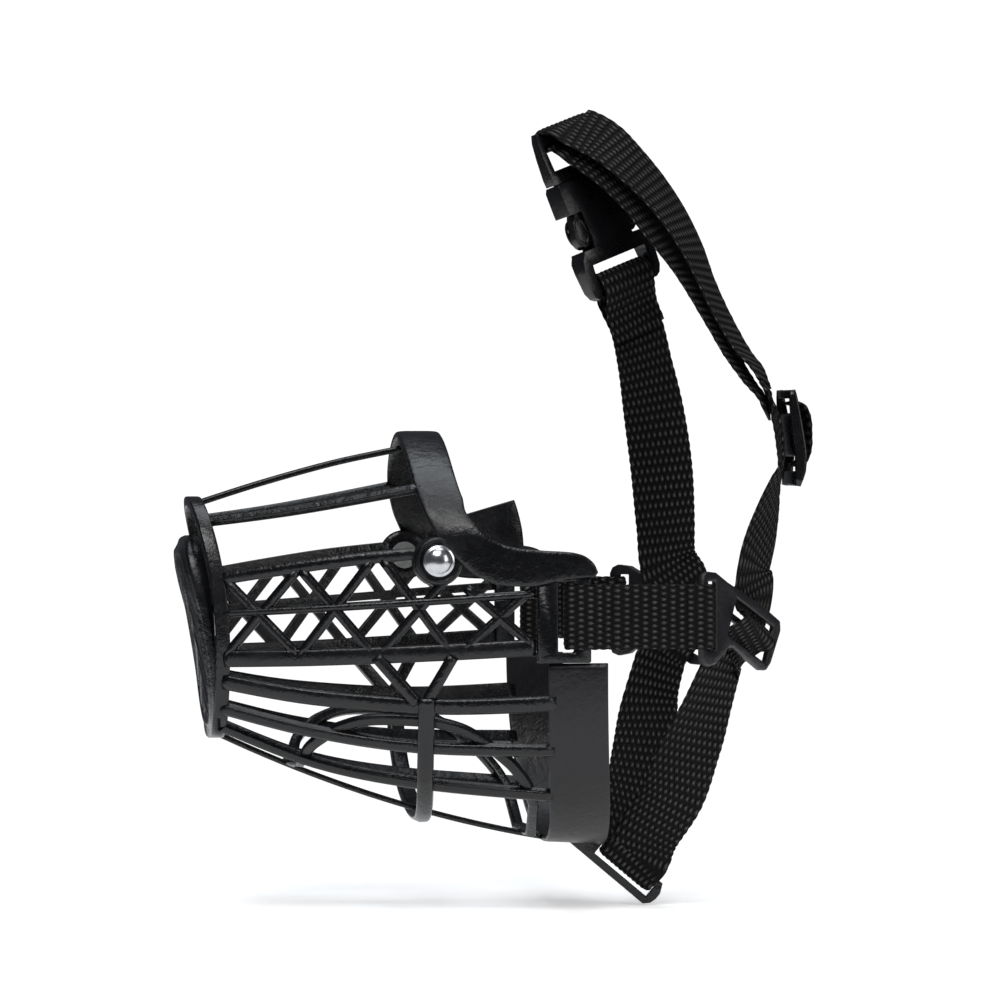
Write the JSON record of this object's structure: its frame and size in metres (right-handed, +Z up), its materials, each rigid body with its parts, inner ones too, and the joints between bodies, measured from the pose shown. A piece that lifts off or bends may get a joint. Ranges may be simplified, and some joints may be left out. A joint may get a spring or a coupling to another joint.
{
  "type": "basket muzzle",
  "caption": "Open moulded basket muzzle for a dog, with a riveted nose arch and a webbing neck harness closed by a side-release buckle.",
  "frame": {"origin": "middle of the snout opening, on the line between the two cheek strap slots", "axes": "+X out of the way in, towards the dog's neck; the nose is at -X; +Z up; +Y the dog's right"},
  "size_m": [0.1984, 0.1101, 0.2505],
  "materials": {
    "basket_plastic": "satin black moulding",
    "connector_plastic": "satin black",
    "buckle_plastic": "gloss black",
    "webbing": "woven black webbing",
    "rivet_cap": "polished",
    "washer": "plain"
  },
  "bodies": {
    "basket": {"nose_hoop": "basket_plastic", "nose_plate": "basket_plastic", "top_bar_centre": "basket_plastic", "top_bar_left": "basket_plastic", "top_bar_right": "basket_plastic", "nose_arch": "basket_plastic", "truss_panel_left": "basket_plastic", "truss_panel_right": "basket_plastic", "rivet_left": "rivet_cap", "rivet_right": "rivet_cap", "rivet_washer_left": "washer", "rivet_washer_right": "washer", "rim_band": "basket_plastic", "slot_frame_left": "basket_plastic", "slot_frame_right": "basket_plastic", "cross_hoop": "basket_plastic", "belly_hoop": "basket_plastic", "cage_bar_upper_left": "basket_plastic", "cage_bar_upper_right": "basket_plastic", "cage_bar_middle_left": "basket_plastic", "cage_bar_middle_right": "basket_plastic", "cage_bar_lower_left": "basket_plastic", "cage_bar_lower_right": "basket_plastic", "keel_bar": "basket_plastic", "throat_tab": "basket_plastic"},
    "harness": {"cheek_strap_left": "webbing", "cheek_strap_right": "webbing", "connector_left": "connector_plastic", "connector_right": "connector_plastic", "neck_strap_left": "webbing", "neck_strap_right": "webbing", "crown_strap": "webbing", "buckle_socket": "buckle_plastic"},
    "buckle_plug": {"buckle_plug": "buckle_plastic"},
    "prong_left": {"buckle_prong_left": "buckle_plastic"},
    "prong_right": {"buckle_prong_right": "buckle_plastic"},
    "adjuster": {"slide_adjuster": "buckle_plastic", "adjuster_loop": "webbing"}
  },
  "joints": [
    {"name": "harness_swing", "type": "hinge", "parent": "basket", "child": "harness", "pos_m": [0.02518, 0, -0.08087], "axis": [0, 1, 0], "range_deg": [-5, 0], "deforming": ["cheek_strap_left", "cheek_strap_right"]},
    {"name": "buckle_release", "type": "slide", "parent": "harness", "child": "buckle_plug", "axis": [-0.3696, 0, 0.9292], "range_m": [0, 0.022], "deforming": ["crown_strap"]},
    {"name": "prong_left_squeeze", "type": "hinge", "parent": "buckle_plug", "child": "prong_left", "pos_m": [0.01013, 0.02656, 0.13326], "axis": [0.3991, -0.903, 0.1588], "range_deg": [0, 15.2]},
    {"name": "prong_right_squeeze", "type": "hinge", "parent": "buckle_plug", "child": "prong_right", "pos_m": [0.02356, 0.03344, 0.1386], "axis": [-0.3991, 0.903, -0.1588], "range_deg": [0, 15.2]},
    {"name": "adjuster_slide", "type": "slide", "parent": "harness", "child": "adjuster", "axis": [-0.055, 0, 0.9985], "range_m": [-0.006, 0.006]}
  ],
  "couplings": [
    {"joint": "prong_left_squeeze", "follows": "buckle_release", "rad_per_m": 12},
    {"joint": "prong_right_squeeze", "follows": "buckle_release", "rad_per_m": 12}
  ]
}
